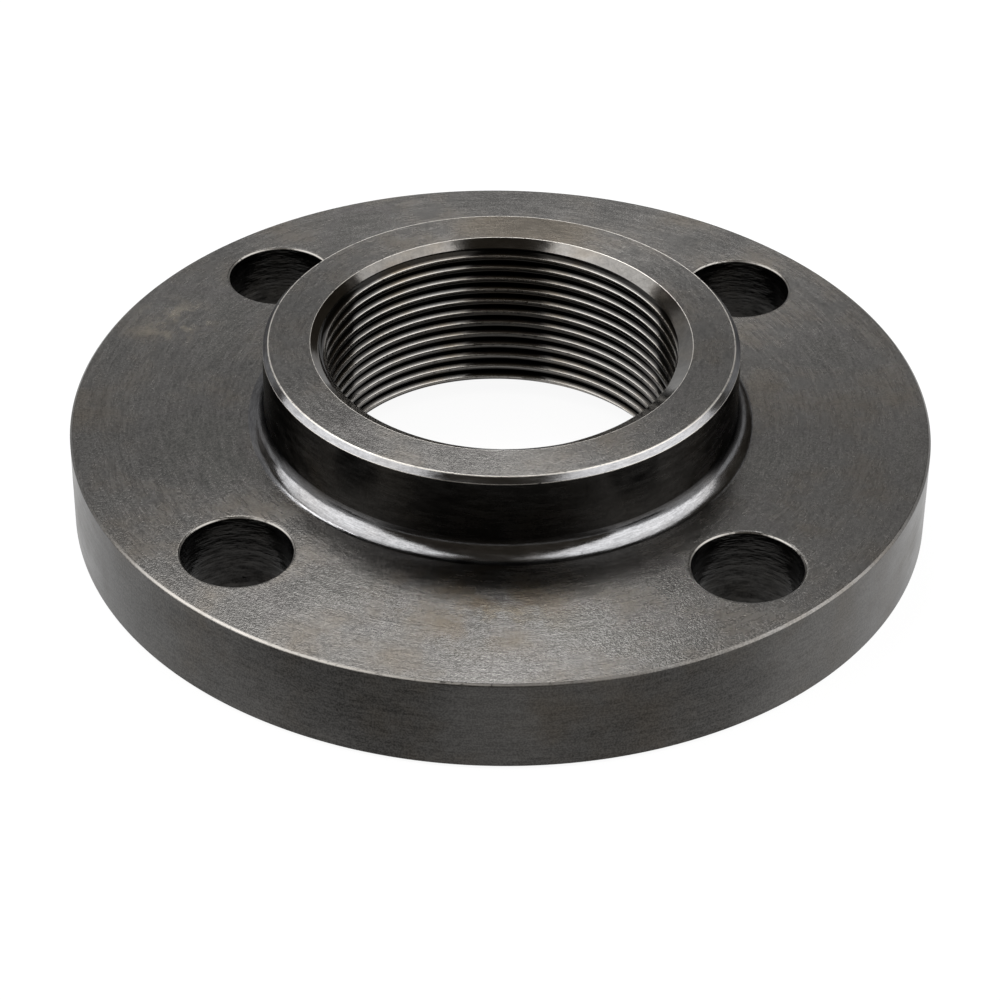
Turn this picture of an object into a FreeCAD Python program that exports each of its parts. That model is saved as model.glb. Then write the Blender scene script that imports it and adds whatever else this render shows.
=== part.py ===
import FreeCAD, Part

import math
import os

import Sketcher

# Threaded pipe flange, turned from one steel forging.
# The frame has its origin at the centre of the gasket face, with Z up through the hub.
# Millimetres and degrees throughout.

NODE = "threaded_flange"
TOLERANCE = 1e-4

doc = FreeCAD.newDocument("threaded_flange")

# Driving sizes
SIZES = [
    ("flange_diameter", 140.0, "outside of the plate"),
    ("flange_thickness", 16.0, "gasket face to the nut face"),
    ("overall_height", 30.4, "gasket face to the top of the hub"),
    ("hub_diameter", 77.0, "straight wall of the hub"),
    ("hub_foot_radius", 3.0, "fillet where the hub grows out of the plate"),
    ("hub_top_chamfer", 0.9, "45 degree break round the top of the hub"),
    ("rim_chamfer", 0.4, "45 degree break on both edges of the plate"),
    ("bore_diameter", 56.6, "crests of the pipe thread"),
    ("mouth_countersink_width", 2.5, "ring of the countersink where the pipe screws in, at the hub face"),
    ("base_countersink_width", 5.7, "ring of the countersink at the gasket face"),
    ("countersink_angle", 120.0, "included angle of both countersinks"),
    ("bolt_hole_diameter", 17.5, "clearance hole for one flange bolt"),
    ("bolt_hole_count", 4, "bolt holes, evenly spaced"),
    ("first_hole_angle", 45.0, "the holes straddle the X and Y centre lines"),
    ("bolt_hole_chamfer", 0.3, "45 degree break on both ends of each bolt hole"),
]


def make_sheet():
    """Write one named cell per driving size, with its meaning beside it."""
    sheet = doc.addObject("Spreadsheet::Sheet", "sizes")
    for row, (name, value, meaning) in enumerate(SIZES, start=1):
        sheet.set("A%d" % row, name)
        sheet.set("B%d" % row, str(value))
        sheet.set("C%d" % row, meaning)
        sheet.setAlias("B%d" % row, name)
    doc.recompute()
    return sheet


def origin_item(body, role):
    """Return the body's own origin plane or axis that plays the given role."""
    return next(item for item in body.Origin.OriginFeatures if item.Role == role)


def sketch_on(body, role, name):
    """Start a sketch on one of the body's origin planes."""
    sketch = body.newObject("Sketcher::SketchObject", name)
    sketch.AttachmentSupport = [(origin_item(body, role), "")]
    sketch.MapMode = "FlatFace"
    return sketch


def closed_outline(sketch, corners):
    """Join the corners in order with straight lines and close the last onto the first."""
    points = [FreeCAD.Vector(across, up, 0) for across, up in corners]
    following = points[1:] + points[:1]
    for start, end in zip(points, following):
        sketch.addGeometry(Part.LineSegment(start, end), False)
    count = len(points)
    for line in range(count):
        sketch.addConstraint(Sketcher.Constraint("Coincident", line, 2, (line + 1) % count, 1))


def place_corner(sketch, line, across, up):
    """Fix the start point of a line at the two sizes, each a formula on the sheet, or on an axis."""
    for kind, formula in (("DistanceX", across), ("DistanceY", up)):
        if formula is None:
            axis = -2 if kind == "DistanceX" else -1
            sketch.addConstraint(Sketcher.Constraint("PointOnObject", line, 1, axis))
            continue
        start = sketch.Geometry[line].StartPoint
        distance = start.x if kind == "DistanceX" else start.y
        index = sketch.addConstraint(Sketcher.Constraint(kind, -1, 1, line, 1, distance))
        sketch.setExpression("Constraints[%d]" % index, formula)


def circle_edges(shape, radius, height, centre_distance=0.0):
    """Name the round edges of one radius and height whose centres lie that far from the Z axis."""
    names = []
    for index, edge in enumerate(shape.Edges, start=1):
        curve = edge.Curve
        if not isinstance(curve, Part.Circle) or abs(curve.Radius - radius) > TOLERANCE:
            continue
        centre = curve.Center
        if abs(centre.z - height) > TOLERANCE:
            continue
        if abs(math.hypot(centre.x, centre.y) - centre_distance) < TOLERANCE:
            names.append("Edge%d" % index)
    return names


def turned_blank(body):
    """Turn the plate and its hub as one solid, still without holes."""
    radius = sizes.flange_diameter / 2
    hub_radius = sizes.hub_diameter / 2
    top = sizes.overall_height
    plate = sizes.flange_thickness
    profile = sketch_on(body, "XZ_Plane", "blank_profile")
    corners = [(0, 0), (radius, 0), (radius, plate), (hub_radius, plate), (hub_radius, top), (0, top)]
    closed_outline(profile, corners)
    plate_edge = "sizes.flange_diameter / 2"
    hub_wall = "sizes.hub_diameter / 2"
    place_corner(profile, 0, None, None)
    place_corner(profile, 1, plate_edge, None)
    place_corner(profile, 2, plate_edge, "sizes.flange_thickness")
    place_corner(profile, 3, hub_wall, "sizes.flange_thickness")
    place_corner(profile, 4, hub_wall, "sizes.overall_height")
    place_corner(profile, 5, None, "sizes.overall_height")
    blank = body.newObject("PartDesign::Revolution", "turned_blank")
    blank.Profile = profile
    blank.ReferenceAxis = (profile, ["V_Axis"])
    blank.Angle = 360
    doc.recompute()
    return blank


def bored_hole(body):
    """Bore through the hub and countersink both ends, by turning one outline about the axis."""
    bore_radius = sizes.bore_diameter / 2
    mouth_radius = bore_radius + sizes.mouth_countersink_width
    base_radius = bore_radius + sizes.base_countersink_width
    top = sizes.overall_height
    slope = math.tan(math.radians(sizes.countersink_angle / 2))
    base_depth = sizes.base_countersink_width / slope
    mouth_start = top - sizes.mouth_countersink_width / slope
    profile = sketch_on(body, "XZ_Plane", "bore_profile")
    corners = [
        (0, 0),
        (base_radius, 0),
        (bore_radius, base_depth),
        (bore_radius, mouth_start),
        (mouth_radius, top),
        (0, top),
    ]
    closed_outline(profile, corners)
    wall = "sizes.bore_diameter / 2"
    depth = "sizes.%s / tan(sizes.countersink_angle / 2)"
    place_corner(profile, 0, None, None)
    place_corner(profile, 1, wall + " + sizes.base_countersink_width", None)
    place_corner(profile, 2, wall, depth % "base_countersink_width")
    place_corner(profile, 3, wall, "sizes.overall_height - " + depth % "mouth_countersink_width")
    place_corner(profile, 4, wall + " + sizes.mouth_countersink_width", "sizes.overall_height")
    place_corner(profile, 5, None, "sizes.overall_height")
    bore = body.newObject("PartDesign::Groove", "pipe_bore")
    bore.Profile = profile
    bore.ReferenceAxis = (profile, ["V_Axis"])
    bore.Angle = 360
    doc.recompute()
    return bore


def bolt_circle_radius():
    """Radius of the bolt circle: the middle of the flat ring from the hub's foot out to the rim."""
    foot = sizes.hub_diameter / 2 + sizes.hub_foot_radius
    rim = sizes.flange_diameter / 2
    return (foot + rim) / 2


def drilled_holes(body):
    """Drill the first bolt hole through the plate, then repeat it round the axis."""
    angle = math.radians(sizes.first_hole_angle)
    circle_radius = bolt_circle_radius()
    centre = FreeCAD.Vector(circle_radius * math.cos(angle), circle_radius * math.sin(angle), 0)
    upward = FreeCAD.Vector(0, 0, 1)
    profile = sketch_on(body, "XY_Plane", "bolt_hole_centre")
    profile.addGeometry(Part.Circle(centre, upward, sizes.bolt_hole_diameter / 2), False)
    across = profile.addConstraint(Sketcher.Constraint("DistanceX", -1, 1, 0, 3, centre.x))
    along = profile.addConstraint(Sketcher.Constraint("DistanceY", -1, 1, 0, 3, centre.y))
    width = profile.addConstraint(Sketcher.Constraint("Diameter", 0, sizes.bolt_hole_diameter))
    foot = "sizes.hub_diameter / 2 + sizes.hub_foot_radius"
    radius = "(%s + sizes.flange_diameter / 2) / 2" % foot
    profile.setExpression("Constraints[%d]" % across, radius + " * cos(sizes.first_hole_angle)")
    profile.setExpression("Constraints[%d]" % along, radius + " * sin(sizes.first_hole_angle)")
    profile.setExpression("Constraints[%d]" % width, "sizes.bolt_hole_diameter")
    doc.recompute()
    drilled = body.newObject("PartDesign::Pocket", "first_bolt_hole")
    drilled.Profile = profile
    drilled.Type = "Length"
    drilled.setExpression("Length", "sizes.flange_thickness")
    drilled.Reversed = True
    doc.recompute()
    pattern = body.newObject("PartDesign::PolarPattern", "bolt_holes")
    pattern.Originals = [drilled]
    pattern.Axis = (origin_item(body, "Z_Axis"), [""])
    pattern.Angle = 360
    pattern.setExpression("Occurrences", "sizes.bolt_hole_count")
    body.Tip = pattern
    doc.recompute()
    return pattern


def dressed(body, kind, name, base, edges, size_property, size_name):
    """Round or break the named edges of the base feature by one size of the sheet."""
    feature = body.newObject(kind, name)
    feature.Base = (base, edges)
    feature.setExpression(size_property, "sizes." + size_name)
    body.Tip = feature
    doc.recompute()
    return feature


def finished_edges(body, base):
    """Fillet the hub's foot, then break the hub's top, the rim and the bolt holes."""
    plate = sizes.flange_thickness
    hub_radius = sizes.hub_diameter / 2
    rim_radius = sizes.flange_diameter / 2
    hole_radius = sizes.bolt_hole_diameter / 2
    foot = dressed(
        body, "PartDesign::Fillet", "hub_foot", base,
        circle_edges(base.Shape, hub_radius, plate), "Radius", "hub_foot_radius",
    )
    hub_top = dressed(
        body, "PartDesign::Chamfer", "hub_top", foot,
        circle_edges(foot.Shape, hub_radius, sizes.overall_height), "Size", "hub_top_chamfer",
    )
    rim_edges = circle_edges(hub_top.Shape, rim_radius, 0) + circle_edges(hub_top.Shape, rim_radius, plate)
    rim = dressed(body, "PartDesign::Chamfer", "rim", hub_top, rim_edges, "Size", "rim_chamfer")
    hole_edges = []
    for height in (0, plate):
        hole_edges += circle_edges(rim.Shape, hole_radius, height, bolt_circle_radius())
    return dressed(
        body, "PartDesign::Chamfer", "bolt_hole_edges", rim, hole_edges, "Size", "bolt_hole_chamfer",
    )


def check_cut(before, after, what):
    """Stop if a cut took nothing away."""
    if not after.Shape.Volume < before.Shape.Volume - TOLERANCE:
        raise RuntimeError("%s removed no material" % what)


def check_document():
    """Stop if any object of the document failed to compute."""
    for item in doc.Objects:
        failed = [state for state in item.State if state in ("Invalid", "Error")]
        if failed:
            raise RuntimeError("%s is %s" % (item.Name, ", ".join(failed)))


sizes = make_sheet()
flange = doc.addObject("PartDesign::Body", NODE)
flange.Label = NODE

blank = turned_blank(flange)
bored = bored_hole(flange)
check_cut(blank, bored, "the pipe bore")
drilled = drilled_holes(flange)
check_cut(bored, drilled, "the bolt holes")
finished = finished_edges(flange, drilled)
doc.recompute()

check_document()
solid = flange.Shape
if solid.isNull() or not solid.isValid() or len(solid.Solids) != 1:
    raise RuntimeError("the flange is not one valid solid")

os.makedirs("parts", exist_ok=True)
solid.exportStep("parts/%s.step" % flange.Label)

box = solid.BoundBox
print("bolt circle %.2f mm across" % (2 * bolt_circle_radius()))
print("%s: %.2f x %.2f x %.2f mm" % (flange.Label, box.XLength, box.YLength, box.ZLength))
print("volume %.0f mm3, %d faces" % (solid.Volume, len(solid.Faces)))
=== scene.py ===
import math

import bpy
import numpy as np
from mathutils import Matrix, Vector


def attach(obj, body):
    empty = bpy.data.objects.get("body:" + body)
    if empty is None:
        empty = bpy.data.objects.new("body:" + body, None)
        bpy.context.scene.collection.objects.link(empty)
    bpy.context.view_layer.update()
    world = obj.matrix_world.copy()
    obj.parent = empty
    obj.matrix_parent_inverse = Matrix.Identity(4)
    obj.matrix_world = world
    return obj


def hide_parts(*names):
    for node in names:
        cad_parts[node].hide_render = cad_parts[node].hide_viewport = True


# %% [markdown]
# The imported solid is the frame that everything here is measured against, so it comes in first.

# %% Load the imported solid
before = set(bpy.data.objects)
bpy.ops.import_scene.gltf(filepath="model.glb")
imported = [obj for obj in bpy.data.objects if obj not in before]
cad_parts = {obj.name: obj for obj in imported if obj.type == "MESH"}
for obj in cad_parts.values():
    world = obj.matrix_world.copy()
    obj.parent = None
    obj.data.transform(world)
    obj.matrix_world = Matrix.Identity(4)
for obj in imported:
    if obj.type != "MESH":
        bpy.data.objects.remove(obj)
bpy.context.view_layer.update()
MM = 0.001

# %% [markdown]
# The sizes of the plate, the hub, the bore and the holes are the solid's own, in millimetres. The
# thread is the only form that the solid leaves out: its bore stops at the thread's crests. This
# parallel pipe thread has 11.5 turns to the inch and flanks 60 degrees apart. Its crests are worn
# blunt: each has a nose below, a narrow face, a bright corner, and a softer shoulder above.

# %% Sizes of the real object
PLATE_RADIUS, PLATE_TOP = 70.0, 16.0
HUB_RADIUS, HUB_TOP = 38.5, 30.4
FOOT_RADIUS = 3.0
HUB_BREAK, RIM_BREAK = 0.9, 0.4
CREST_RADIUS, PITCH = 28.3, 25.4 / 11.5
FLANK_SLOPE = math.tan(math.radians(60.0))
THREAD_DEPTH = 1.15
ROOT_RADIUS = CREST_RADIUS + THREAD_DEPTH
CORNER_UP, CORNER_OUT = 0.55, 0.14
SHOULDER_UP, SHOULDER_OUT = 1.00, 0.66
MOUTH_RADIUS, BASE_RADIUS = 30.8, 34.0
CONE_SLOPE = math.tan(math.radians(60.0))
HOLE_RADIUS, HOLE_BREAK = 8.75, 0.3
HOLE_CIRCLE = (HUB_RADIUS + FOOT_RADIUS + PLATE_RADIUS) / 2
HOLE_ANGLES = np.radians([45.0, 135.0, 225.0, 315.0])
NOSE_HEIGHT_AT_X = 4.93
print("pitch %.3f mm, roots at %.2f mm, bolt circle %.2f mm" % (PITCH, ROOT_RADIUS, 2 * HOLE_CIRCLE))

# %% [markdown]
# A lathe part is one outline carried round an axis. Sharp corners never catch the light on real
# steel, so each corner of the outline is first replaced by a small arc. The arcs are worked out
# from the corner's angle, which is quicker and cleaner than a bevel on the finished mesh.

# %% Outline with rounded corners
def rounded_outline(corners, radii, steps):
    """Replace each inner corner by an arc. The arc starts radius / tan(half the corner's angle)
    before the corner, and its centre lies on the bisector at radius / sin(half the angle)."""
    corners = np.asarray(corners, float)
    runs = [corners[:1]]
    for before, here, after, radius, count in zip(corners[:-2], corners[1:-1], corners[2:], radii, steps):
        back = (before - here) / np.linalg.norm(before - here)
        on = (after - here) / np.linalg.norm(after - here)
        half = 0.5 * math.acos(float(np.clip(back @ on, -1, 1)))
        bisector = (back + on) / np.linalg.norm(back + on)
        centre = here + bisector * radius / math.sin(half)
        start = here + back * radius / math.tan(half) - centre
        end = here + on * radius / math.tan(half) - centre
        share = np.linspace(0, 1, count + 1)[:, None]
        turn = math.acos(float(np.clip(start @ end / radius**2, -1, 1)))
        swing = np.sin((1 - share) * turn) * start + np.sin(share * turn) * end
        runs.append(centre + swing / math.sin(turn))
    runs.append(corners[-1:])
    return np.vstack(runs)


ROUND = 0.14
PATCH_INNER, PATCH_OUTER, PATCH_ROWS = 44.5, 67.0, 12
patch_radii = np.linspace(PATCH_INNER, PATCH_OUTER, PATCH_ROWS + 1)
mouth_lip = ROUND * math.tan(math.radians(15.0))
mouth_start = (MOUTH_RADIUS - mouth_lip * math.sin(math.radians(60)), HUB_TOP - mouth_lip * 0.5)
corners = [
    mouth_start, (MOUTH_RADIUS, HUB_TOP), (HUB_RADIUS - HUB_BREAK, HUB_TOP),
    (HUB_RADIUS, HUB_TOP - HUB_BREAK), (HUB_RADIUS, PLATE_TOP),
    (PLATE_RADIUS - RIM_BREAK, PLATE_TOP), (PLATE_RADIUS, PLATE_TOP - RIM_BREAK),
    (PLATE_RADIUS, RIM_BREAK), (PLATE_RADIUS - RIM_BREAK, 0.0), (BASE_RADIUS, 0.0),
]
radii = [ROUND * 0.98, ROUND, ROUND, FOOT_RADIUS, ROUND, ROUND, ROUND, ROUND]
steps = [2, 3, 3, 14, 3, 3, 3, 3]
turned = rounded_outline(corners, radii, steps)
print("outline of the outside: %d points" % len(turned))

# %% [markdown]
# The flat faces need rows where the bolt holes break through them. Those rows are slipped into the
# outline on both faces of the plate, and the cells round each hole are left open for a patch.

# %% Rows for the bolt holes
WIDE_STEP = 20.0


def with_rows(outline, height, rows):
    """Slip extra points into the outline at the one step of that height wider than WIDE_STEP."""
    level = np.abs(outline[:, 1] - height) < 1e-6
    spans = np.flatnonzero(level[:-1] & level[1:] & (np.abs(np.diff(outline[:, 0])) > WIDE_STEP))
    place = int(spans[0])
    ordered = rows if outline[place, 0] < outline[place + 1, 0] else rows[::-1]
    extra = np.column_stack([ordered, np.full(len(rows), height)])
    return np.vstack([outline[: place + 1], extra, outline[place + 1 :]]), place + 1


turned, top_row = with_rows(turned, PLATE_TOP, patch_radii)
turned, base_row = with_rows(turned, 0.0, patch_radii)
COLUMNS, PATCH_HALF = 336, 12
theta = np.arange(COLUMNS) * 2 * math.pi / COLUMNS
print("rows %d, patch rows start at %d and %d" % (len(turned), top_row, base_row))

# %% [markdown]
# The thread's profile is drawn for one turn, from the middle of one groove to the middle of the
# next. Its heights are counted from the nose, and each corner is rounded a little. The last point
# is dropped, because it is the first point of the next turn.

# %% Profile of one turn
lower_foot = (-(ROOT_RADIUS - CREST_RADIUS) / FLANK_SLOPE, ROOT_RADIUS)
corner = (CORNER_UP, CREST_RADIUS + CORNER_OUT)
shoulder = (SHOULDER_UP, CREST_RADIUS + SHOULDER_OUT)
upper_foot = (SHOULDER_UP + (ROOT_RADIUS - shoulder[1]) / FLANK_SLOPE, ROOT_RADIUS)
middle_of_root = (lower_foot[0] + upper_foot[0] - PITCH) / 2
one_turn = rounded_outline(
    [(middle_of_root, ROOT_RADIUS), lower_foot, (0.0, CREST_RADIUS), corner, shoulder, upper_foot,
     (middle_of_root + PITCH, ROOT_RADIUS)],
    [0.08, 0.09, 0.05, 0.60, 0.08], [1, 3, 2, 2, 1],
)[:-1]
ROWS_PER_TURN = len(one_turn)
print("one turn: %d rows over %.3f mm" % (ROWS_PER_TURN, PITCH))

# %% [markdown]
# The thread is cut by a tool that moves along the bore while the flange turns. Its surface has two
# parameters: the angle round the axis, and the place within one pitch. Rows that follow the helix
# keep the crest a clean line, where level rows would saw across it. Both ends run out into the
# countersinks: the wider of thread and cone is what the tools leave. Where the mouth's cone cuts a
# crest away, the row at its nose moves down to where cone and flank meet.

# %% Thread surface
FIRST_NOSE_ROW = 3
CONE_BLEND, CLEAR_OF_THREAD = 0.04, 0.35
SPARE_TURNS = 1.1


def larger_of(first, second, blend):
    """Larger of the two with a rounded change-over: (a + b + sqrt((a - b)2 + blend2)) / 2."""
    return 0.5 * (first + second + np.sqrt((first - second) ** 2 + blend**2))


def cone_radius(height):
    """The wider of the two countersinks: each narrows by one millimetre of radius in tan 60 of depth."""
    mouth = MOUTH_RADIUS - (HUB_TOP - height) * CONE_SLOPE
    base = BASE_RADIUS - height * CONE_SLOPE
    return np.maximum(mouth, base)


low_end, high_end = 0.0, mouth_start[1]
turns_below = math.ceil((NOSE_HEIGHT_AT_X - low_end) / PITCH + SPARE_TURNS)
first_height = NOSE_HEIGHT_AT_X - turns_below * PITCH
turn_count = math.ceil((high_end - first_height) / PITCH + SPARE_TURNS)
row_height = (first_height + np.arange(turn_count)[:, None] * PITCH + one_turn[None, :, 0]).ravel()
row_radius = np.tile(one_turn[:, 1], turn_count)
thread_height = row_height[:, None] + PITCH * theta[None, :] / (2 * math.pi)
nose_rows = np.arange(turn_count) * ROWS_PER_TURN + FIRST_NOSE_ROW
below_nose = thread_height[nose_rows - 1]
nose = thread_height[nose_rows]
nose_tip = nose - one_turn[FIRST_NOSE_ROW, 0]
meeting = (nose_tip + HUB_TOP) / 2 - (MOUTH_RADIUS - CREST_RADIUS) / (2 * FLANK_SLOPE)
cut_by_mouth = (meeting < nose) & (meeting > below_nose)
thread_height[nose_rows] = np.where(cut_by_mouth, meeting, nose)
thread_wall = np.repeat(row_radius[:, None], COLUMNS, axis=1)
lower_flank = CREST_RADIUS + FLANK_SLOPE * (nose_tip - meeting)
thread_wall[nose_rows] = np.where(cut_by_mouth, lower_flank, thread_wall[nose_rows])
cone_wall = cone_radius(thread_height)
thread_bore = larger_of(thread_wall, cone_wall, CONE_BLEND)
pure_cone = cone_wall > thread_wall + CLEAR_OF_THREAD
thread_bore = np.where(pure_cone, cone_wall, thread_bore)
print("thread rows %d, radius %.2f to %.2f mm" % (len(row_height), thread_bore.min(), thread_bore.max()))

# %% [markdown]
# Three sets of points make the mesh: the turned outside, the thread, and the bolt holes. They share
# their seams by number instead of being merged afterwards: thread points above the mouth or below
# the base take the number of the outline's own edge point, so the two meet without a gap.

# %% Points and faces of the turned outside and the thread
turned_points = np.stack([
    turned[:, 0:1] * np.cos(theta), turned[:, 0:1] * np.sin(theta), turned[:, 1:2] * np.ones(COLUMNS),
], axis=-1).reshape(-1, 3)
thread_points = np.stack([
    thread_bore * np.cos(theta), thread_bore * np.sin(theta), thread_height,
], axis=-1).reshape(-1, 3)

rows = len(turned)
grid = np.arange(rows * COLUMNS).reshape(rows, COLUMNS)
grid_on = np.roll(grid, -1, axis=1)
outside_faces = np.stack([grid[:-1], grid[1:], grid_on[1:], grid_on[:-1]], axis=-1)

near_end = 0.03
number = len(turned_points) + np.arange(thread_height.size).reshape(thread_height.shape)
column_number = np.broadcast_to(np.arange(COLUMNS), thread_height.shape)
number = np.where(thread_height >= high_end - near_end, column_number, number)
number = np.where(thread_height <= low_end + near_end, (rows - 1) * COLUMNS + column_number, number)
kept = len(row_height) - ROWS_PER_TURN
following = np.concatenate([number[:kept, 1:], number[ROWS_PER_TURN : ROWS_PER_TURN + kept, :1]], axis=1)
here = number[:kept]
thread_cells = np.stack([here[:-1], here[1:], following[1:], following[:-1]], axis=-1).reshape(-1, 4)
left_shut = thread_cells[:, 0] == thread_cells[:, 1]
right_shut = thread_cells[:, 2] == thread_cells[:, 3]
thread_quads = thread_cells[~left_shut & ~right_shut]
thread_triangles = np.vstack([
    thread_cells[left_shut & ~right_shut][:, [0, 2, 3]],
    thread_cells[~left_shut & right_shut][:, [0, 1, 2]],
])
print("thread: %d four-sided and %d three-sided faces" % (len(thread_quads), len(thread_triangles)))

# %% [markdown]
# A round hole in a ring-shaped grid needs a patch that is square outside and round inside. Its
# inside is the hole's own outline, from the upper face down the wall to the lower face. Its outside
# is the border of the cells that were left open, read off as the numbers of their points.

# %% Outline and border of a bolt hole
PATCH_RINGS = 2
HOLE_COLLAR, HOLE_ROUND = 0.4, 0.1
hole_profile = rounded_outline(
    [(HOLE_RADIUS + HOLE_BREAK + HOLE_COLLAR, PLATE_TOP), (HOLE_RADIUS + HOLE_BREAK, PLATE_TOP),
     (HOLE_RADIUS, PLATE_TOP - HOLE_BREAK), (HOLE_RADIUS, HOLE_BREAK),
     (HOLE_RADIUS + HOLE_BREAK, 0.0), (HOLE_RADIUS + HOLE_BREAK + HOLE_COLLAR, 0.0)],
    [HOLE_ROUND] * 4, [2] * 4,
)


def patch_border(first_row, middle_column):
    """Numbers of the outline's points round one patch: out along one side, round, and back."""
    low, high = middle_column - PATCH_HALF, middle_column + PATCH_HALF
    inner, outer = first_row, first_row + PATCH_ROWS
    across = np.arange(low, high)
    along = np.arange(0, PATCH_ROWS)
    row = np.concatenate([np.full(across.size, inner), inner + along,
                          np.full(across.size, outer), outer - along])
    column = np.concatenate([across, np.full(along.size, high), high - np.arange(across.size),
                             np.full(along.size, low)])
    return row * COLUMNS + column % COLUMNS


print("a patch has %d points round its border" % len(patch_border(top_row, 0)))

# %% [markdown]
# Each point of the patch's border is joined to the point of the hole's edge in the same direction,
# and a few rings in between share out the distance. The rings then turn down into the hole, pass
# its chamfers and wall, and come out on the other face.

# %% Bolt hole patches
def hole_patch(angle, first_number):
    """Rings from the top border to the hole's edge, down its wall and out to the base border.
    A ring's point is the hole's centre plus the ring's radius in the border point's direction."""
    centre = HOLE_CIRCLE * np.array([math.cos(angle), math.sin(angle)])
    middle = int(round(math.degrees(angle) * COLUMNS / 360))
    top = patch_border(top_row, middle)
    base_rows = patch_border(base_row, middle)
    base = (base_row + (base_row + PATCH_ROWS) - base_rows // COLUMNS) * COLUMNS + base_rows % COLUMNS
    out = turned_points[top, :2] - centre
    reach = np.linalg.norm(out, axis=1)
    ways = out / reach[:, None]
    share = np.arange(1, PATCH_RINGS + 1)[:, None] / (PATCH_RINGS + 1)
    edge = hole_profile[0, 0]
    spread = reach * (1 - share) + edge * share
    rings = np.vstack([spread, np.repeat(hole_profile[:, :1], len(top), axis=1), spread[::-1]])
    heights = np.concatenate([np.full(PATCH_RINGS, PLATE_TOP), hole_profile[:, 1], np.zeros(PATCH_RINGS)])
    points = np.concatenate([
        centre + rings[..., None] * ways,
        np.repeat(heights[:, None, None], len(top), axis=1),
    ], axis=-1)
    own = first_number + np.arange(rings.size).reshape(rings.shape)
    ladder = np.vstack([top, own, base])
    ladder_on = np.roll(ladder, -1, axis=1)
    faces = np.stack([ladder[:-1], ladder[1:], ladder_on[1:], ladder_on[:-1]], axis=-1).reshape(-1, 4)
    return points.reshape(-1, 3), faces


patch_points, patch_faces = [], []
next_number = len(turned_points) + len(thread_points)
for angle in HOLE_ANGLES:
    points, faces = hole_patch(angle, next_number)
    patch_points.append(points)
    patch_faces.append(faces)
    next_number += len(points)
print("one bolt hole: %d points, %d faces" % (len(points), len(faces)))

# %% [markdown]
# The cells under the patches are taken out, all points go into one mesh, and points that no face
# uses are dropped. The signed volume tells whether the faces point outwards.

# %% One closed mesh
open_cells = np.zeros((rows - 1, COLUMNS), bool)
for angle in HOLE_ANGLES:
    middle = int(round(math.degrees(angle) * COLUMNS / 360))
    for first in (top_row, base_row):
        open_cells[first : first + PATCH_ROWS, middle - PATCH_HALF : middle + PATCH_HALF] = True
quads = np.vstack([outside_faces[~open_cells], thread_quads, *patch_faces])
triangles = thread_triangles
all_points = np.vstack([turned_points, thread_points, *patch_points])
used, fresh = np.unique(np.concatenate([quads.ravel(), triangles.ravel()]), return_inverse=True)
quads = fresh[: quads.size].reshape(-1, 4)
triangles = fresh[quads.size :].reshape(-1, 3)
points = all_points[used]


def signed_volume(points, triangles):
    """A sixth of the sum of a . (b x c) over all triangles, above nought when they face outwards."""
    a, b, c = (points[triangles[:, k]] for k in range(3))
    return float(np.einsum("ij,ij->", a, np.cross(b, c))) / 6


as_triangles = np.vstack([quads[:, [0, 1, 2]], quads[:, [0, 2, 3]], triangles])
volume = signed_volume(points, as_triangles)
mesh = bpy.data.meshes.new("turned_flange")
mesh.from_pydata((points * MM).tolist(), [], quads.tolist() + triangles.tolist())
flange = bpy.data.objects.new("turned_flange", mesh)
bpy.context.scene.collection.objects.link(flange)
edges = np.sort(as_triangles[:, [0, 1, 1, 2, 2, 0]].reshape(-1, 2), axis=1)
edge_use = np.unique(edges, axis=0, return_counts=True)[1]
print("triangles %d, volume %.0f mm3, edges not shared by two faces: %d" % (
    len(as_triangles), volume, int((edge_use != 2).sum())))

# %% [markdown]
# Smooth shading would bend the light near each small arc, because a corner point averages the faces round
# it. Weighting by area lets the large flat face win, so flats stay flat. The piece then rides on the part's
# root and stands in for the imported solid.

# %% Shading
mesh.polygons.foreach_set("use_smooth", np.ones(len(mesh.polygons), bool))
mesh.set_sharp_from_angle(angle=math.radians(50.0))
weighted = flange.modifiers.new("flat_faces_win", "WEIGHTED_NORMAL")
weighted.mode = "FACE_AREA"
weighted.weight = 50
weighted.keep_sharp = True
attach(flange, "root")
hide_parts("threaded_flange")
print("shaded smooth, %d faces" % len(mesh.polygons))

# %% [markdown]
# Each finish is a small graph of nodes. This helper keeps a graph short to write: it adds a node,
# takes numbers or other nodes' outputs as inputs, and returns the output to use next.

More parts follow.
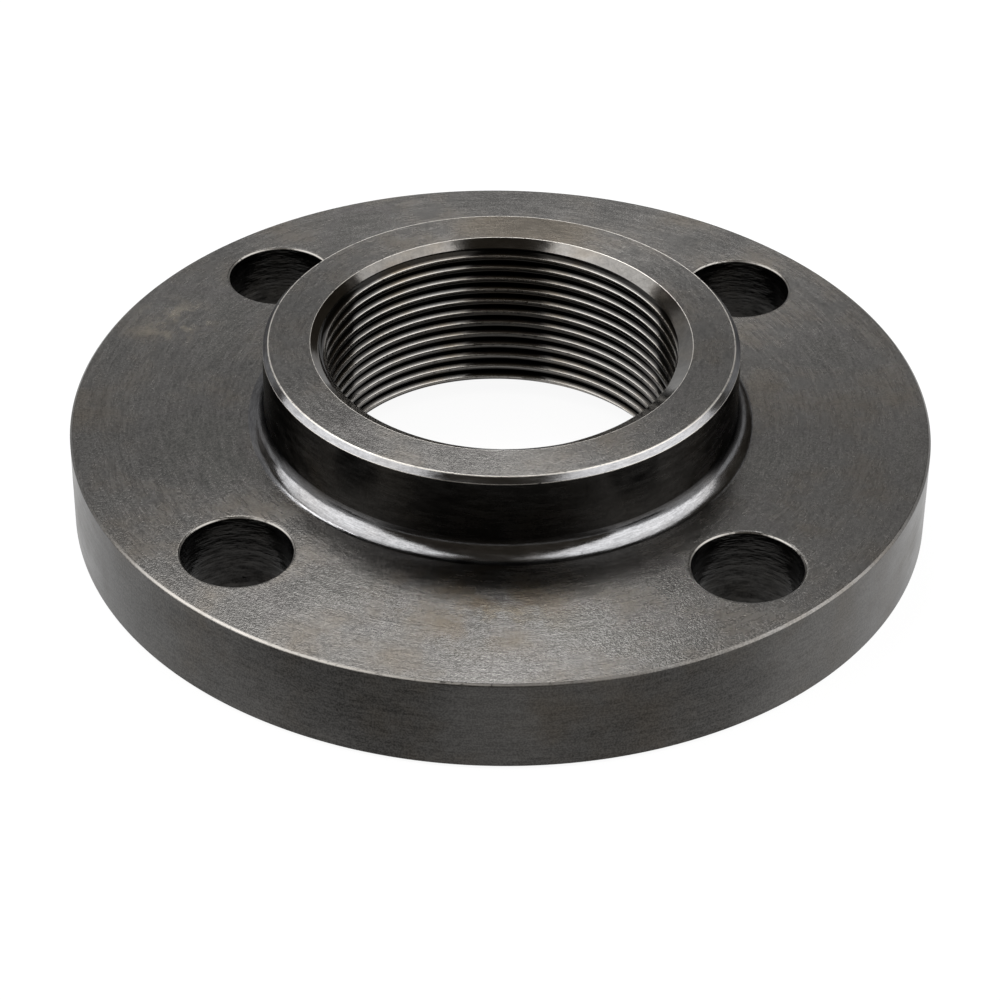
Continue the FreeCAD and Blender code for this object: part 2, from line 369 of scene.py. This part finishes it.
# %% Helper for node graphs
class Graph:
    def __init__(self, name):
        self.material = bpy.data.materials.new(name)
        self.material.use_nodes = True
        self.tree = self.material.node_tree
        self.shader = self.tree.nodes["Principled BSDF"]
        self.place = self.node("ShaderNodeTexCoord").outputs["Object"]
        apart = self.node("ShaderNodeSeparateXYZ")
        self.join(self.place, apart.inputs[0])
        self.x, self.y, self.z = apart.outputs

    def node(self, kind):
        return self.tree.nodes.new(kind)

    def join(self, source, socket):
        if isinstance(source, (int, float, tuple, list)):
            socket.default_value = source
        else:
            self.tree.links.new(source, socket)

    def calc(self, operation, *inputs):
        node = self.node("ShaderNodeMath")
        node.operation = operation
        for source, socket in zip(inputs, node.inputs):
            self.join(source, socket)
        return node.outputs[0]

    def vector(self, x, y, z):
        node = self.node("ShaderNodeCombineXYZ")
        for source, socket in zip((x, y, z), node.inputs):
            self.join(source, socket)
        return node.outputs[0]

    def noise(self, at, scale, detail=3.0, roughness=0.55):
        node = self.node("ShaderNodeTexNoise")
        self.join(at, node.inputs["Vector"])
        node.inputs["Scale"].default_value = scale
        node.inputs["Detail"].default_value = detail
        node.inputs["Roughness"].default_value = roughness
        return node.outputs["Fac"]

    def ramp(self, source, low, high, to_low=0.0, to_high=1.0):
        node = self.node("ShaderNodeMapRange")
        node.interpolation_type = "SMOOTHSTEP"
        for value, socket in zip((source, low, high, to_low, to_high), node.inputs):
            self.join(value, socket)
        return node.outputs[0]

    def mix(self, share, first, second):
        node = self.node("ShaderNodeMix")
        node.data_type = "RGBA"
        for value, name in ((share, "Factor_Float"), (first, "A_Color"), (second, "B_Color")):
            socket = next(s for s in node.inputs if s.identifier == name)
            self.join(value, socket)
        return next(s for s in node.outputs if s.identifier == "Result_Color")

    def bump(self, height, distance, under=None):
        node = self.node("ShaderNodeBump")
        node.inputs["Distance"].default_value = distance
        self.join(height, node.inputs["Height"])
        if under is not None:
            self.join(under, node.inputs["Normal"])
        return node.outputs[0]

    def near_circle(self, radius, height, width):
        """One where the surface is within about a width of the circle round the Z axis, else nought."""
        across = self.calc("SUBTRACT", self.radius, radius * MM)
        up = self.calc("SUBTRACT", self.z, height * MM)
        square = self.calc("ADD", self.calc("MULTIPLY", across, across), self.calc("MULTIPLY", up, up))
        return self.ramp(self.calc("SQRT", square), width * MM, 0.35 * width * MM)


print("graph helper ready")

# %% [markdown]
# Machined steel is not even: the black finish is blotchy with a brown tinge, and handling rubs the edges
# bright, where the rim's bare edge is also a painted highlight. These are the colours of the blackened and
# the bare metal, then the stained places on the part with how far each one reaches, in millimetres.

# %% Colours of the steel
STEEL = (0.112, 0.108, 0.103)
COOL_STEEL = (0.122, 0.122, 0.125)
BROWN = (0.098, 0.075, 0.048)
BARE = (0.30, 0.285, 0.265, 1.0)
STAIN, STAIN_PLACE, STAIN_REACH = (0.170, 0.150, 0.118, 1.0), (-56.5, 24.0), 10.0
TINGE = (0.060, 0.047, 0.031, 1.0)
TINGE_PLACE, TINGE_REACH = (-1.0, -47.0), 20.0
BACK_TINGE_PLACE, BACK_TINGE_REACH = (3.0, 35.0), 18.0
print("blackened steel", STEEL, "and its brown", BROWN)

# %% [markdown]
# The cutter leaves fine marks round the axis. They are noise that is squeezed along the cutter's path and
# stretched round the axis. The noise reads the cosine and the sine of the angle, not the angle itself, so
# it has no seam. Wear is kept to the edges by masks of their distance, and on the rim a mask of the angle
# keeps it where it also stands for a painted highlight.

# %% Marks and masks
def beside(g, place, reach):
    """One at a place on the plate, in millimetres, and nought from a reach away on."""
    across_x = g.calc("SUBTRACT", g.x, place[0] * MM)
    across_y = g.calc("SUBTRACT", g.y, place[1] * MM)
    square = g.calc("ADD", g.calc("MULTIPLY", across_x, across_x), g.calc("MULTIPLY", across_y, across_y))
    return g.ramp(g.calc("SQRT", square), reach * MM, 0.2 * reach * MM)


def turning_marks(g, around, across):
    """Noise on radius minus height and on the cosine and sine of the angle: fine across the
    cutter's path, long along it, and without a seam. The second noise is 0.3 times as fine."""
    g.radius = g.calc("SQRT", g.calc("ADD", g.calc("MULTIPLY", g.x, g.x), g.calc("MULTIPLY", g.y, g.y)))
    g.cosine = g.calc("DIVIDE", g.x, g.radius)
    g.sine = g.calc("DIVIDE", g.y, g.radius)
    path = g.calc("SUBTRACT", g.radius, g.z)
    fine = g.vector(g.calc("MULTIPLY", path, across), g.calc("MULTIPLY", g.cosine, around),
                    g.calc("MULTIPLY", g.sine, around))
    wide = g.vector(g.calc("MULTIPLY", path, 0.3 * across), g.calc("MULTIPLY", g.cosine, 0.3 * around),
                    g.calc("MULTIPLY", g.sine, 0.3 * around))
    return g.noise(fine, 1.0, 3.0, 0.6), g.noise(wide, 1.0, 3.0, 0.55)


def worn_and_highlit_edges(g, drilled):
    """Largest of the masks near the edges, broken up by noise. The rim's bare edge is a painted highlight
    as well as wear, so it is kept between its left side and the middle of its front and back, which is
    where the cosine is below nought."""
    if drilled:
        hole_edge = g.near_circle(HOLE_RADIUS + HOLE_BREAK / 2, PLATE_TOP - HOLE_BREAK / 2, 0.20)
        wear_and_highlight = g.calc("MULTIPLY", hole_edge, 0.5)
    else:
        rim = g.near_circle(PLATE_RADIUS - 0.6 * RIM_BREAK, PLATE_TOP - 0.4 * RIM_BREAK, 0.26)
        # Painted highlight: the angle mask keeps the rim's bare edge to the left, where the light would
        # catch it.
        rim_highlight_part = g.calc("MULTIPLY", g.ramp(g.cosine, 0.52, -0.30), g.ramp(g.cosine, -0.86, -0.64))
        wear_and_highlight = g.calc("MULTIPLY", rim, rim_highlight_part)
        hub_edges = ((MOUTH_RADIUS, HUB_TOP, 0.10), (HUB_RADIUS - HUB_BREAK, HUB_TOP, 0.20),
                     (HUB_RADIUS, HUB_TOP - HUB_BREAK, 0.10))
        for radius, height, width in hub_edges:
            wear_and_highlight = g.calc("MAXIMUM", wear_and_highlight, g.near_circle(radius, height, width))
        crest = g.calc("ABSOLUTE", g.calc("SUBTRACT", g.radius, (CREST_RADIUS + CORNER_OUT) * MM))
        wear_and_highlight = g.calc("MAXIMUM", wear_and_highlight, g.ramp(crest, 0.12 * MM, 0.04 * MM, 0.0, 0.6))
    return g.calc("MULTIPLY", wear_and_highlight, g.ramp(g.noise(g.place, 1300.0, 2.0, 0.6), 0.20, 0.46))


print("marks and masks ready")

# %% [markdown]
# The shade is a number near one that multiplies the colour. It sums noises of every size, from wide patches
# down to pores, so that no stretch of the surface is plain. Some places are then darkened as painted shade:
# the back of the plate, and in the thread the groove and the crest's face.

# %% Shade of a finish
def surface_noise(g, around, across):
    """Keep on the graph the noises that its colour, roughness and bump share."""
    g.marks, g.wide_marks = turning_marks(g, around, across)
    g.grain = g.noise(g.place, 3400.0, 1.0, 0.5)
    g.pores = g.noise(g.place, 900.0, 3.0, 0.6)
    g.blotch = g.noise(g.place, 80.0, 5.0, 0.62)
    g.patch = g.noise(g.place, 24.0, 3.0, 0.55)


def even_shade(g, contrast, grain_contrast, mottle):
    """Sum of the noises, each stretched to its own contrast round one, less the dark pores."""
    shade = g.calc("ADD", g.ramp(g.patch, 0.3, 0.7, 1 - 0.15 * mottle, 1 + 0.10 * mottle),
                   g.ramp(g.marks, 0.3, 0.7, -0.16 * contrast, 0.16 * contrast))
    shade = g.calc("ADD", shade, g.ramp(g.wide_marks, 0.3, 0.7, -0.10 * contrast, 0.10 * contrast))
    shade = g.calc("ADD", shade, g.ramp(g.grain, 0.35, 0.65, -grain_contrast, grain_contrast))
    return g.calc("SUBTRACT", shade, g.ramp(g.pores, 0.66, 0.74, 0.0, 0.35 * contrast))


def local_shade(g, shade, foot, stained_and_back_shaded, threaded):
    """Shade times what a place adds: darker at the foot's outer edge, and painted shade towards the back of
    the plate. In the thread the groove and the crest's face take painted shade, and the metal beside the
    corner does not."""
    if foot:
        outer, inner = HUB_RADIUS + FOOT_RADIUS, HUB_RADIUS + 0.3 * FOOT_RADIUS
        shade = g.calc("MULTIPLY", shade, g.ramp(g.radius, outer * MM, inner * MM, 0.62, 1.0))
    if stained_and_back_shaded:
        # Painted shade: darker towards the back of the plate and of the hub's top.
        shade = g.calc("MULTIPLY", shade, g.ramp(g.y, 22.0 * MM, 44.0 * MM, 1.0, 0.86))
    if threaded:
        # Painted shade: dark towards the groove's root and on the crest's face.
        groove_shade = g.ramp(g.radius, (CREST_RADIUS + 0.54) * MM, (CREST_RADIUS + 0.14) * MM, 0.07, 1.0)
        face = g.ramp(g.radius, (CREST_RADIUS + 0.05) * MM, (CREST_RADIUS + 0.12) * MM, 0.30, 1.0)
        shade = g.calc("MULTIPLY", shade, g.calc("MULTIPLY", groove_shade, face))
    return shade


def with_stains(g, colour):
    """Mix in a pale stain and a brown tinge on the plate, and the same tinge at the back of the hub."""
    stain_noise = g.ramp(g.noise(g.place, 260.0, 4.0, 0.7), 0.48, 0.64)
    stain = g.calc("MULTIPLY", beside(g, STAIN_PLACE, STAIN_REACH), stain_noise)
    colour = g.mix(g.calc("MULTIPLY", stain, 0.5), colour, STAIN)
    tinge_noise = g.ramp(g.noise(g.place, 150.0, 4.0, 0.65), 0.40, 0.62)
    tinge = g.calc("MULTIPLY", beside(g, TINGE_PLACE, TINGE_REACH), tinge_noise)
    on_plate = g.ramp(g.z, (HUB_TOP - 1) * MM, (PLATE_TOP + 1) * MM)
    colour = g.mix(g.calc("MULTIPLY", g.calc("MULTIPLY", tinge, on_plate), 0.65), colour, TINGE)
    back_tinge = g.calc("SUBTRACT", beside(g, BACK_TINGE_PLACE, BACK_TINGE_REACH), on_plate)
    return g.mix(g.ramp(back_tinge, 0.0, 1.0, 0.0, 0.55), colour, TINGE)


print("shades ready")

# %% [markdown]
# One recipe makes every finish: a colour times its shade, then a roughness and a bump that follow
# the same noises, so that a mark looks cut and not painted. Stretch turns the highlights round the
# axis, as turning marks do, and the edge tint sets how bright steel grows at a glancing angle.

# %% One finish
def blackened_steel(name, roughness, metal=STEEL, around=24.0, across=3200.0, mark_depth=1.0e-5,
                    grain_depth=1.0e-5, brown=0.4, dark=1.0, stretch=0.0, contrast=1.0,
                    grain_contrast=0.12, mottle=1.0, edge=1.0, foot=False, drilled=False,
                    stained_and_back_shaded=False, threaded=False):
    """Base colour is the metal mixed with brown by soft noise, times a shade from marks, grain and painted
    shade, then bare metal where the edges are worn and where the rim takes a painted highlight. Roughness
    and bump follow the same marks."""
    g = Graph(name)
    if drilled:
        offset = HOLE_CIRCLE / math.sqrt(2) * MM
        g.x = g.calc("SUBTRACT", g.calc("ABSOLUTE", g.x), offset)
        g.y = g.calc("SUBTRACT", g.calc("ABSOLUTE", g.y), offset)
    surface_noise(g, around, across)

    steel = tuple(c * dark for c in metal) + (1.0,)
    rust = tuple(c * dark for c in BROWN) + (1.0,)
    colour = g.mix(g.calc("MULTIPLY", g.ramp(g.blotch, 0.42, 0.78), brown), steel, rust)
    shade = local_shade(g, even_shade(g, contrast, grain_contrast, mottle), foot, stained_and_back_shaded, threaded)
    scaled = g.node("ShaderNodeVectorMath")
    scaled.operation = "SCALE"
    g.join(colour, scaled.inputs[0])
    g.join(shade, scaled.inputs["Scale"])
    colour = with_stains(g, scaled.outputs[0]) if stained_and_back_shaded else scaled.outputs[0]
    wear_and_highlight = worn_and_highlit_edges(g, drilled)
    g.join(g.mix(wear_and_highlight, colour, BARE), g.shader.inputs["Base Color"])

    spread = g.calc("ADD", g.ramp(g.blotch, 0.3, 0.7, roughness - 0.03, roughness + 0.05),
                    g.ramp(g.wide_marks, 0.3, 0.7, -0.03 * contrast, 0.03 * contrast))
    spread = g.calc("ADD", spread, g.calc("MULTIPLY", wear_and_highlight, 0.2))
    g.join(spread, g.shader.inputs["Roughness"])
    g.shader.inputs["Metallic"].default_value = 1.0
    g.shader.inputs["Specular Tint"].default_value = (edge, edge, edge, 1.0)
    g.shader.inputs["Anisotropic"].default_value = stretch
    if stretch > 0:
        g.join(g.vector(g.cosine, g.sine, -0.8), g.shader.inputs["Tangent"])
    relief = g.bump(g.calc("ADD", g.marks, g.calc("MULTIPLY", g.wide_marks, 1.6)), mark_depth)
    relief = g.bump(g.calc("ADD", g.grain, g.calc("MULTIPLY", g.pores, 0.5)), grain_depth, relief)
    g.join(relief, g.shader.inputs["Normal"])
    return g.material


print("recipe for a finish ready")

# %% [markdown]
# Seven finishes come from the one recipe, and their numbers tell them apart. The turned faces carry
# long marks, the drilled walls are the darkest, the rim is the most mottled, and the foot of the
# hub is the coolest in colour. Depths are in metres, so 1.0e-5 is a hundredth of a millimetre.

# %% Seven finishes
finishes = [
    blackened_steel("turned_face_steel", 0.25, around=34.0, across=5200.0, mark_depth=0.9e-5,
                    grain_depth=2.6e-5, stretch=0.75, dark=0.62, brown=0.45, contrast=0.80,
                    grain_contrast=0.20, stained_and_back_shaded=True),
    blackened_steel("hub_wall_steel", 0.25, mark_depth=6.0e-6, grain_depth=4.0e-6, dark=0.42, stretch=0.7,
                    edge=0.3),
    blackened_steel("threaded_steel", 0.11, around=4.0, mark_depth=2.0e-6, grain_depth=2.0e-6, dark=0.88,
                    contrast=0.6, brown=1.0, threaded=True),
    blackened_steel("drilled_steel", 0.20, around=3.5, across=1700.0, mark_depth=8.5e-5, grain_depth=4.0e-6,
                    dark=0.18, contrast=2.6, drilled=True),
    blackened_steel("rim_steel", 0.33, mark_depth=4.0e-6, grain_depth=1.2e-5, dark=0.68, brown=0.4,
                    contrast=0.8, grain_contrast=0.2, mottle=2.2),
    blackened_steel("foot_steel", 0.16, metal=COOL_STEEL, mark_depth=1.0e-5, grain_depth=3.0e-6, dark=1.1,
                    brown=0.15, grain_contrast=0.06, edge=0.3, foot=True),
    blackened_steel("countersink_steel", 0.10, mark_depth=3.0e-6, grain_depth=2.0e-6, dark=0.80,
                    contrast=0.7, grain_contrast=0.06),
]
for finish in finishes:
    mesh.materials.append(finish)
print("finishes:", [finish.name for finish in finishes])

# %% [markdown]
# Which finish a face takes follows from where it lies: inside the bore, on a bolt hole's wall, on
# the hub's side, on the rim, or on one of the flat faces.

# %% Give each face its finish
FACE, WALL, THREAD, HOLE, RIM, FOOT, CONE = range(len(finishes))
ABOVE_PLATE, ABOVE_BASE, BELOW_HUB_TOP = 0.02, 0.01, 0.001
CONE_DEPTH, CONE_TOLERANCE = 1.5, 0.08
count = len(mesh.polygons)
centres = np.empty(count * 3, np.float32)
mesh.polygons.foreach_get("center", centres)
x, y, z = (centres.reshape(-1, 3) / MM).T
radius = np.hypot(x, y)
from_hole = np.hypot(np.abs(x) - HOLE_CIRCLE / math.sqrt(2), np.abs(y) - HOLE_CIRCLE / math.sqrt(2))
finish_of = np.full(count, FACE, np.int32)
beside_hub = (radius > MOUTH_RADIUS) & (radius < HUB_RADIUS + FOOT_RADIUS)
finish_of[beside_hub & (z > PLATE_TOP + FOOT_RADIUS) & (z < HUB_TOP - HUB_BREAK)] = WALL
finish_of[beside_hub & (z > PLATE_TOP + ABOVE_PLATE) & (z < PLATE_TOP + FOOT_RADIUS)] = FOOT
at_hub_break = (z > HUB_TOP - HUB_BREAK - ROUND / 2) & (z < HUB_TOP - BELOW_HUB_TOP)
finish_of[(radius > HUB_RADIUS - HUB_BREAK) & at_hub_break] = FOOT
finish_of[radius > PLATE_RADIUS - RIM_BREAK] = RIM
finish_of[from_hole < HOLE_RADIUS + HOLE_BREAK] = HOLE
at_base_cone = (z > ABOVE_BASE) & (z < PLATE_TOP - 1) & (radius < BASE_RADIUS)
finish_of[(radius < MOUTH_RADIUS) | at_base_cone] = THREAD
on_cone = np.abs(radius - cone_radius(z)) < CONE_TOLERANCE
finish_of[(radius < MOUTH_RADIUS) & (z > HUB_TOP - CONE_DEPTH) & on_cone] = CONE
mesh.polygons.foreach_set("material_index", finish_of)
print("faces per finish:", np.bincount(finish_of).tolist())

# %% [markdown]
# The studio is plain. The surround is white to the camera, in mirrors and through glass, and dimmer
# in the soft light that it sheds, because the soft boxes should give most of the light.

# %% Surround
SEEN_STRENGTH, SOFT_STRENGTH = 1.0, 0.3


def white_surround(seen, soft):
    """World colour: white, of one strength to camera, mirror and glass rays, of another to the rest."""
    world = bpy.data.worlds.new("studio")
    bpy.context.scene.world = world
    world.use_nodes = True
    tree = world.node_tree
    tree.nodes.clear()
    rays = tree.nodes.new("ShaderNodeLightPath")
    output = tree.nodes.new("ShaderNodeOutputWorld")
    mixer = tree.nodes.new("ShaderNodeMixShader")
    looking = rays.outputs["Is Camera Ray"]
    for ray in ("Is Glossy Ray", "Is Transmission Ray"):
        either = tree.nodes.new("ShaderNodeMath")
        either.operation = "MAXIMUM"
        tree.links.new(looking, either.inputs[0])
        tree.links.new(rays.outputs[ray], either.inputs[1])
        looking = either.outputs[0]
    tree.links.new(looking, mixer.inputs[0])
    for strength, socket in ((soft, mixer.inputs[1]), (seen, mixer.inputs[2])):
        white = tree.nodes.new("ShaderNodeBackground")
        white.inputs[0].default_value = (1, 1, 1, 1)
        white.inputs[1].default_value = strength
        tree.links.new(white.outputs[0], socket)
    tree.links.new(mixer.outputs[0], output.inputs[0])


white_surround(SEEN_STRENGTH, SOFT_STRENGTH)
print("surround: strength %.1f where seen, %.1f as soft light" % (SEEN_STRENGTH, SOFT_STRENGTH))

# %% [markdown]
# The floor glows white to the camera and in reflections. A little of its pale paint is left in the mix, so
# that the part keeps its shadow. In reflections the floor grows darker in front of the part: a painted
# shadow, which gives the rim and the hub's foot their dark lower tones.

# %% Floor
FLOOR_HALF, FLOOR_LEVEL, FLOOR_GLOW = 6.0, -0.0002, 0.93
DARK_FROM, DARK_TO, DARK_SHARE = -0.050, -0.085, 0.45
floor_corners = [(across * FLOOR_HALF, along * FLOOR_HALF, FLOOR_LEVEL)
                 for across, along in ((-1, -1), (1, -1), (1, 1), (-1, 1))]
floor_mesh = bpy.data.meshes.new("studio_floor")
floor_mesh.from_pydata(floor_corners, [], [(0, 1, 2, 3)])
floor = bpy.data.objects.new("studio_floor", floor_mesh)
bpy.context.scene.collection.objects.link(floor)

paint = Graph("pale_floor")
paint.shader.inputs["Base Color"].default_value = (0.9, 0.9, 0.9, 1)
paint.shader.inputs["Roughness"].default_value = 0.9
rays = paint.node("ShaderNodeLightPath")
glow = paint.node("ShaderNodeEmission")
mixer = paint.node("ShaderNodeMixShader")
# Painted shadow of the part, seen only in reflections: the floor is dimmed in front of it.
in_front = paint.ramp(paint.y, DARK_FROM, DARK_TO, 0.0, DARK_SHARE)
painted_shadow = paint.calc("MULTIPLY", in_front, rays.outputs["Is Glossy Ray"])
looking = paint.calc("ADD", rays.outputs["Is Camera Ray"], rays.outputs["Is Glossy Ray"])
paint.join(paint.calc("SUBTRACT", 1.0, painted_shadow), glow.inputs["Strength"])
paint.join(paint.calc("MULTIPLY", looking, FLOOR_GLOW), mixer.inputs[0])
paint.join(paint.shader.outputs[0], mixer.inputs[1])
paint.join(glow.outputs[0], mixer.inputs[2])
paint.join(mixer.outputs[0], paint.tree.nodes["Material Output"].inputs[0])
floor_mesh.materials.append(paint.material)
print("floor %.0f m wide" % (2 * FLOOR_HALF))

# %% [markdown]
# Polished steel shows the lamps more than its own colour, so the boxes are placed by what each
# face should mirror. Two large boxes hang to the left and the right with a gap between them, and a
# small bright strip at the back lights the far side of the plate.

# %% Soft boxes
BOX_DISTANCE = 1.2


def soft_box(name, azimuth, elevation, width, height, radiance):
    """Area lamp that faces the part. Azimuth counts from the front to the right, in degrees, and
    the lamp's power is radiance times pi times its area."""
    lamp = bpy.data.lights.new(name, "AREA")
    lamp.shape = "RECTANGLE"
    lamp.size = width
    lamp.size_y = height
    lamp.energy = radiance * math.pi * width * height
    holder = bpy.data.objects.new(name, lamp)
    turn, lift = math.radians(azimuth), math.radians(elevation)
    away = Vector((math.sin(turn) * math.cos(lift), -math.cos(turn) * math.cos(lift), math.sin(lift)))
    holder.location = away * BOX_DISTANCE
    holder.rotation_mode = "QUATERNION"
    holder.rotation_quaternion = away.to_track_quat("Z", "Y")
    holder.visible_camera = False
    bpy.context.scene.collection.objects.link(holder)
    return holder


soft_box("left_box", azimuth=-83.0, elevation=45.0, width=1.42, height=1.56, radiance=3.9)
soft_box("right_box", azimuth=81.0, elevation=45.0, width=1.36, height=1.56, radiance=3.7)
soft_box("back_strip", azimuth=195.0, elevation=55.5, width=0.64, height=0.34, radiance=13.0)
print("soft boxes placed")

# %% [markdown]
# Black cards give steel its dark reflections. Two stand in front behind the camera, the nearer one
# to trim the boxes; one hangs overhead, and two fill the gaps at the back. Each is a piece of a
# large ball round the part, is hidden from the camera, and glows a little, as dark cloth does.

# %% Black cards
NEAR_CARD, FAR_CARD = 0.95, 1.9
CARD_TURNS, CARD_LIFTS = 25, 13
CARD_GLOW = (0.11, 0.095, 0.075, 1)
card_paint = bpy.data.materials.new("black_card")
card_paint.use_nodes = True
card_tree = card_paint.node_tree
card_tree.nodes.clear()
card_glow = card_tree.nodes.new("ShaderNodeEmission")
card_glow.inputs[0].default_value = CARD_GLOW
card_glow.inputs[1].default_value = 1.0
card_tree.links.new(card_glow.outputs[0], card_tree.nodes.new("ShaderNodeOutputMaterial").inputs[0])


def black_card(name, turns, lifts, distance):
    """Part of a large ball: x = sin(turn) cos(lift), y = -cos(turn) cos(lift), z = sin(lift)."""
    turn = np.radians(np.linspace(*turns, CARD_TURNS))[:, None]
    lift = np.radians(np.linspace(*lifts, CARD_LIFTS))[None, :]
    height = np.broadcast_to(np.sin(lift), (CARD_TURNS, CARD_LIFTS))
    points = np.stack([np.sin(turn) * np.cos(lift), -np.cos(turn) * np.cos(lift), height], axis=-1)
    points = points.reshape(-1, 3) * distance
    grid = np.arange(CARD_TURNS * CARD_LIFTS).reshape(CARD_TURNS, CARD_LIFTS)
    faces = np.stack([grid[:-1, :-1], grid[1:, :-1], grid[1:, 1:], grid[:-1, 1:]], axis=-1).reshape(-1, 4)
    card_mesh = bpy.data.meshes.new(name)
    card_mesh.from_pydata(points.tolist(), [], faces.tolist())
    card_mesh.materials.append(card_paint)
    card = bpy.data.objects.new(name, card_mesh)
    bpy.context.scene.collection.objects.link(card)
    card.visible_camera = False
    return card


black_card("front_card", turns=(-52.0, 52.0), lifts=(0.5, 76.0), distance=FAR_CARD)
black_card("gap_card", turns=(-37.0, 36.0), lifts=(8.0, 76.0), distance=NEAR_CARD)
black_card("top_card", turns=(-180.0, 180.0), lifts=(76.0, 89.9), distance=FAR_CARD)
black_card("left_card", turns=(-139.0, -105.0), lifts=(14.0, 73.0), distance=FAR_CARD)
black_card("right_card", turns=(102.0, 163.0), lifts=(14.0, 73.0), distance=FAR_CARD)
print("black cards placed")

# %% [markdown]
# The camera is a long lens from well above the plate. Its place was worked out from the outlines
# of the plate, the hub, the mouth and the bolt holes, so each circle falls where the photo has it.

# %% Camera
CAMERA_TURN, CAMERA_LIFT, CAMERA_ROLL = 1.5078, 36.3866, 0.7892
CAMERA_TARGET = Vector((0.14, -2.36, 0.0)) * MM
CAMERA_DISTANCE, CAMERA_LENS = 572.4 * MM, 124.5
turn, lift, roll = (math.radians(a) for a in (CAMERA_TURN, CAMERA_LIFT, CAMERA_ROLL))
back = Vector((math.sin(turn) * math.cos(lift), -math.cos(turn) * math.cos(lift), math.sin(lift)))
right = Vector((math.cos(turn), math.sin(turn), 0.0))
up = back.cross(right)
level_right, level_up = right.copy(), up.copy()
right = math.cos(roll) * level_right + math.sin(roll) * level_up
up = math.cos(roll) * level_up - math.sin(roll) * level_right
camera_data = bpy.data.cameras.new("camera")
camera_data.lens = CAMERA_LENS
camera_data.sensor_width = 36.0
camera_data.clip_start = 0.01
camera = bpy.data.objects.new("camera", camera_data)
place = Matrix((right, up, back)).transposed().to_4x4()
place.translation = CAMERA_TARGET + back * CAMERA_DISTANCE
camera.matrix_world = place
bpy.context.scene.collection.objects.link(camera)
bpy.context.scene.camera = camera
bpy.context.scene.view_settings.view_transform = "Standard"
print("camera at", [round(c, 4) for c in place.translation])
